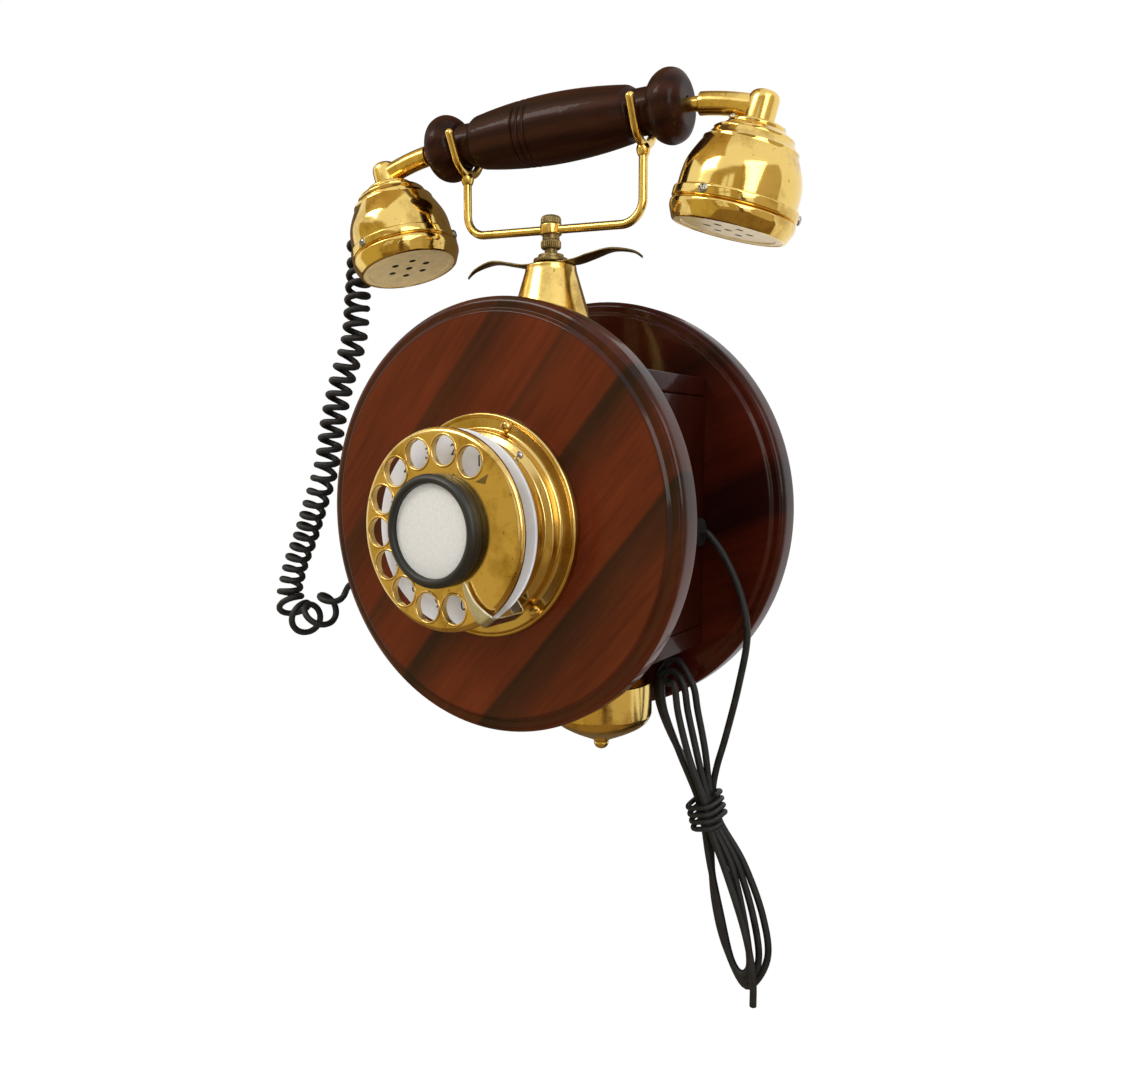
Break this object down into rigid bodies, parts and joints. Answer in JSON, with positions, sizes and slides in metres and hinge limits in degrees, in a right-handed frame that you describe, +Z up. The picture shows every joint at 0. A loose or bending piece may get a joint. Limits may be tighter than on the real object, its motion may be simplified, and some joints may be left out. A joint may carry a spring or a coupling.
{
  "type": "rotary wall telephone",
  "caption": "Wooden wall telephone with a rotary dial, a handset on a sprung cradle above, a gong below, a curly handset cord and a bundled line cord.",
  "frame": {"origin": "centre of the back disc's rear face, on the wall", "axes": "+X to the viewer's right, +Y into the wall, +Z up; the dial faces -Y"},
  "size_m": [0.2702, 0.124, 0.3794],
  "materials": {
    "case_wood": "varnished red-brown with darker diagonal bands",
    "handle_wood": "dark polished varnish",
    "polished_brass": "polished, lightly worn",
    "aged_brass": "dull, darkened in the recesses",
    "nickel": "bright plating",
    "steel": "plain machined",
    "copper_winding": null,
    "white_enamel": "glossy enamel",
    "card": "plain card",
    "contact_plastic": "moulded insulator with spring contacts",
    "cream_plastic": "cream moulding",
    "black_plastic": "black moulding",
    "circuit_board": "coated board",
    "cord_rubber": "satin black sheath"
  },
  "bodies": {
    "case": {"back_disc": "case_wood", "top_board": "case_wood", "bottom_board": "case_wood", "left_board": "case_wood", "right_board": "case_wood", "front_disc": "case_wood", "case_screws": "steel", "hanger_plate": "steel", "hanger_screws": "steel", "cone_pedestal": "polished_brass", "leaf_strip": "aged_brass", "stem_collar": "aged_brass", "gong_post": "steel", "gong": "polished_brass", "gong_finial": "polished_brass", "dial_base": "polished_brass", "dial_screws": "aged_brass", "number_plate": "white_enamel", "finger_stop": "nickel", "mechanism_plate": "steel", "return_spring": "steel", "pulse_contacts": "contact_plastic", "hook_bracket": "steel", "hook_spring": "steel", "hook_contacts": "contact_plastic", "ringer_frame": "steel", "ringer_coils": "copper_winding", "hammer_pivot": "steel", "network_board": "circuit_board", "terminal_block": "cream_plastic", "cord_grommets": "cord_rubber", "line_cord": "cord_rubber", "cord_tie": "cord_rubber", "curly_cord": "cord_rubber"},
    "dial": {"dial_spindle": "steel", "main_gear": "polished_brass", "finger_wheel": "polished_brass", "card_bezel": "black_plastic", "dial_card": "card"},
    "governor": {"governor": "steel"},
    "plunger": {"stem": "aged_brass", "cradle_bar": "polished_brass", "left_fork": "polished_brass", "right_fork": "polished_brass", "cradle_nut": "aged_brass"},
    "hammer": {"hammer": "polished_brass"},
    "handset": {"handle": "handle_wood", "left_tube": "polished_brass", "right_tube": "polished_brass", "left_shell": "polished_brass", "right_shell": "polished_brass", "left_rim": "polished_brass", "right_rim": "polished_brass", "left_plate": "cream_plastic", "right_plate": "cream_plastic", "transmitter": "black_plastic", "receiver": "steel", "cup_screws": "aged_brass"}
  },
  "joints": [
    {"name": "dial_turn", "type": "hinge", "parent": "case", "child": "dial", "pos_m": [0, -0.1, -0.0028], "axis": [0, 1, 0], "range_deg": [0, 346], "stiffness_Nm_per_rad": 0.01},
    {"name": "governor_spin", "type": "hinge", "parent": "case", "child": "governor", "pos_m": [-0.025, -0.075, -0.0028], "axis": [0, 1, 0], "range_deg": [-1384, 0]},
    {"name": "handset_lift", "type": "slide", "parent": "case", "child": "handset", "axis": [0, 0, 1], "range_m": [0, 0.06], "deforming": ["curly_cord"]},
    {"name": "plunger_slide", "type": "slide", "parent": "case", "child": "plunger", "axis": [0, 0, 1], "range_m": [0, 0.006], "deforming": ["hook_spring"]},
    {"name": "hammer_swing", "type": "hinge", "parent": "case", "child": "hammer", "pos_m": [-0.006, -0.036, -0.026], "axis": [0, 1, 0], "range_deg": [-1.5, 6]}
  ],
  "couplings": [
    {"joint": "governor_spin", "follows": "dial_turn", "ratio": -4},
    {"joint": "plunger_slide", "follows": "handset_lift", "ratio": 0.1}
  ]
}
